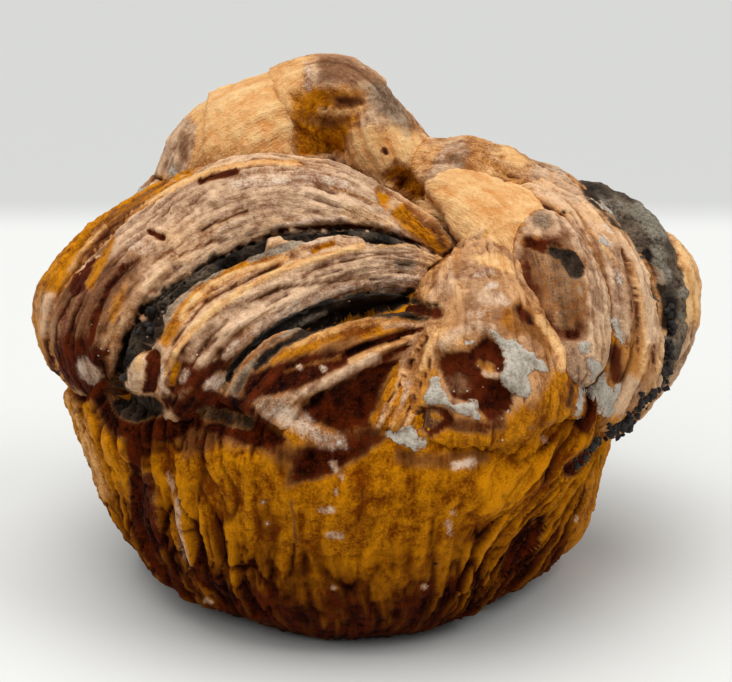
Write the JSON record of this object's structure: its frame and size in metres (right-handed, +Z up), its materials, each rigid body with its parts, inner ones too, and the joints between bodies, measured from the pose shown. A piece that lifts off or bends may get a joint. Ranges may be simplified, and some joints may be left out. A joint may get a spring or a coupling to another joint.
{
  "type": "cinnamon knot",
  "caption": "Knotted laminated-dough pastry with cinnamon filling between its folds, on a round cup-shaped foot baked in a muffin tin.",
  "frame": {"origin": "middle of the foot's flat underside, on the surface that the pastry stands on", "axes": "+Z up; -Y towards the picture's camera; +X to the picture's right, along the pastry's widest extent"},
  "size_m": [0.1051, 0.0886, 0.0786],
  "materials": {
    "crust": "baked crust, dull, streaked brown and gold",
    "filling": "burnt cinnamon sugar, rough and dark"
  },
  "bodies": {
    "root": {"knot_dough": "crust", "filling_left_upper": "filling", "filling_left_lower": "filling", "filling_right": "filling"}
  },
  "joints": []
}
